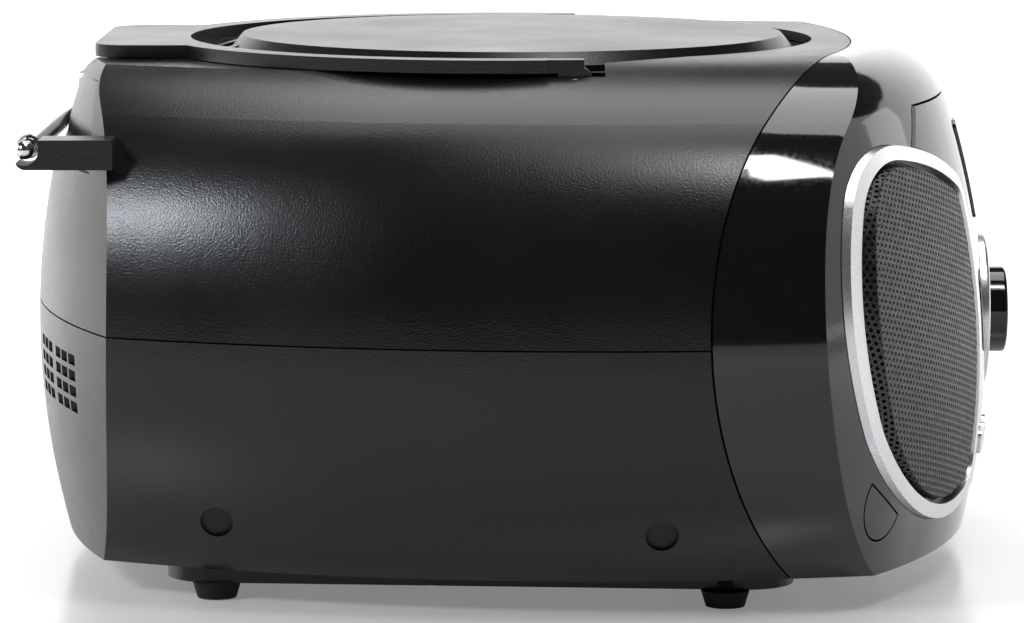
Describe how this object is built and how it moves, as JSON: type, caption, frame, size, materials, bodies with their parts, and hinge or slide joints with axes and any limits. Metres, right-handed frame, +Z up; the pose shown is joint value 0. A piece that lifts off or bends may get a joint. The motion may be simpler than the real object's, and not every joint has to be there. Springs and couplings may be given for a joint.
{
  "type": "portable cd radio",
  "caption": "Portable stereo CD radio with a round top-loading disc lid, folding handle, speakers behind perforated grilles, keys, volume knob and rod aerial.",
  "frame": {"origin": "on the table, under the middle of the whole object", "axes": "+X to the right of someone facing the front, +Y to the back, +Z up"},
  "size_m": [0.259, 0.2516, 0.1326],
  "materials": {
    "case_plastic": "satin fine texture",
    "gloss_black": "high gloss",
    "silver_trim": "satin silver",
    "grille_metal": "satin black, perforated",
    "window_plastic": "clear dark, gloss",
    "lcd_glass": "smooth",
    "board": "green laminate",
    "part_black": "plain",
    "steel": "bright",
    "aerial_steel": "polished",
    "aluminium_fins": "plain",
    "rubber_black": "matte",
    "white_plastic": "plain",
    "paper_cone": "pressed paper",
    "magnet": "dull",
    "copper_iron": "varnished",
    "contact_metal": "nickel"
  },
  "bodies": {
    "case": {"aerial_bracket": "part_black", "aerial_rest": "case_plastic", "battery_contacts": "contact_metal", "board_parts": "part_black", "case_screws": "steel", "cd_deck": "case_plastic", "centre_panel": "gloss_black", "dial_ring": "silver_trim", "display_module": "lcd_glass", "display_window": "window_plastic", "feet": "rubber_black", "ferrite_aerial": "magnet", "front_board": "board", "front_cabinet": "gloss_black", "guide_rod": "steel", "heat_sink": "aluminium_fins", "hinge_pins": "steel", "jack_sockets": "part_black", "key_board": "board", "lid_latch": "part_black", "lower_case": "case_plastic", "main_board": "board", "mains_inlet": "part_black", "mechanism_chassis": "steel", "mechanism_dampers": "rubber_black", "sled_motor": "steel", "small_screws": "steel", "speaker_cone_left": "paper_cone", "speaker_cone_right": "paper_cone", "speaker_frame_left": "steel", "speaker_frame_right": "steel", "speaker_grille_left": "grille_metal", "speaker_grille_right": "grille_metal", "speaker_magnet_left": "magnet", "speaker_magnet_right": "magnet", "speaker_ring_left": "silver_trim", "speaker_ring_right": "silver_trim", "spindle_motor": "steel", "transformer": "copper_iron", "upper_case": "case_plastic", "volume_control": "part_black"},
    "lid": {"cd_lid": "case_plastic"},
    "carry_handle": {"handle": "case_plastic"},
    "knob": {"volume_knob": "gloss_black"},
    "jack_flap": {"jack_cover": "rubber_black"},
    "door": {"battery_door": "case_plastic"},
    "disc_hub": {"turntable_hub": "part_black"},
    "sled": {"laser_sled": "part_black"},
    "gear": {"sled_gear": "white_plastic"},
    "swivel": {"aerial_swivel": "steel"},
    "tube_1": {"aerial_tube_1": "aerial_steel"},
    "tube_2": {"aerial_tube_2": "aerial_steel"},
    "tube_3": {"aerial_tube_3": "aerial_steel"},
    "tube_4": {"aerial_tube_4": "aerial_steel"},
    "power_key_body": {"power_key": "silver_trim"},
    "function_key_body": {"function_key": "silver_trim"},
    "repeat_key_body": {"repeat_key": "silver_trim"},
    "program_key_body": {"program_key": "silver_trim"},
    "stop_key_body": {"stop_key": "silver_trim"},
    "play_key_body": {"play_key": "silver_trim"}
  },
  "joints": [
    {"name": "lid_hinge", "type": "hinge", "parent": "case", "child": "lid", "pos_m": [0, 0.0816, 0.1246], "axis": [-1, 0, 0], "range_deg": [0, 62]},
    {"name": "handle_hinge", "type": "hinge", "parent": "case", "child": "carry_handle", "pos_m": [0, -0.012, 0.126], "axis": [1, 0, 0], "range_deg": [0, 90]},
    {"name": "volume_turn", "type": "hinge", "parent": "case", "child": "knob", "pos_m": [0, -0.1258, 0.06], "axis": [0, 1, 0], "range_deg": [-140, 140]},
    {"name": "jack_cover_hinge", "type": "hinge", "parent": "case", "child": "jack_flap", "pos_m": [-0.10303, -0.08686, 0.02691], "axis": [-0.7327, 0.4103, 0.543], "range_deg": [0, 100]},
    {"name": "battery_door_slide", "type": "slide", "parent": "case", "child": "door", "axis": [0, 1, 0], "range_m": [0, 0.012]},
    {"name": "disc_spin", "type": "hinge", "parent": "case", "child": "disc_hub", "pos_m": [0, 0.0032, 0.1172], "axis": [0, 0, 1], "continuous": true},
    {"name": "sled_slide", "type": "slide", "parent": "case", "child": "sled", "axis": [0, -1, 0], "range_m": [0, 0.018]},
    {"name": "sled_gear_turn", "type": "hinge", "parent": "case", "child": "gear", "pos_m": [-0.027, -0.0368, 0.1036], "axis": [0, 0, 1], "range_deg": [-115.09, 0.5]},
    {"name": "aerial_swing", "type": "hinge", "parent": "case", "child": "swivel", "pos_m": [0.084, 0.1156, 0.1108], "axis": [0, 1, 0], "range_deg": [0, 180]},
    {"name": "aerial_tilt", "type": "hinge", "parent": "swivel", "child": "tube_1", "pos_m": [0.084, 0.1205, 0.1108], "axis": [0, 0, -1], "range_deg": [0, 90]},
    {"name": "aerial_draw_1", "type": "slide", "parent": "tube_1", "child": "tube_2", "axis": [-1, 0, 0], "range_m": [0, 0.14]},
    {"name": "aerial_draw_2", "type": "slide", "parent": "tube_2", "child": "tube_3", "axis": [-1, 0, 0], "range_m": [0, 0.14]},
    {"name": "aerial_draw_3", "type": "slide", "parent": "tube_3", "child": "tube_4", "axis": [-1, 0, 0], "range_m": [0, 0.14]},
    {"name": "power_key_press", "type": "slide", "parent": "case", "child": "power_key_body", "axis": [0, 1, 0], "range_m": [0, 0.001], "stiffness_N_per_m": 300, "springref_m": -0.002},
    {"name": "function_key_press", "type": "slide", "parent": "case", "child": "function_key_body", "axis": [0, 1, 0], "range_m": [0, 0.001], "stiffness_N_per_m": 300, "springref_m": -0.002},
    {"name": "repeat_key_press", "type": "slide", "parent": "case", "child": "repeat_key_body", "axis": [0, 1, 0], "range_m": [0, 0.001], "stiffness_N_per_m": 300, "springref_m": -0.002},
    {"name": "program_key_press", "type": "slide", "parent": "case", "child": "program_key_body", "axis": [0, 1, 0], "range_m": [0, 0.001], "stiffness_N_per_m": 300, "springref_m": -0.002},
    {"name": "stop_key_press", "type": "slide", "parent": "case", "child": "stop_key_body", "axis": [0, 1, 0], "range_m": [0, 0.001], "stiffness_N_per_m": 300, "springref_m": -0.002},
    {"name": "play_key_press", "type": "slide", "parent": "case", "child": "play_key_body", "axis": [0, 1, 0], "range_m": [0, 0.001], "stiffness_N_per_m": 300, "springref_m": -0.002}
  ],
  "couplings": [
    {"joint": "sled_gear_turn", "follows": "sled_slide", "rad_per_m": -111.11},
    {"joint": "aerial_draw_2", "follows": "aerial_draw_1", "ratio": 1},
    {"joint": "aerial_draw_3", "follows": "aerial_draw_1", "ratio": 1}
  ]
}
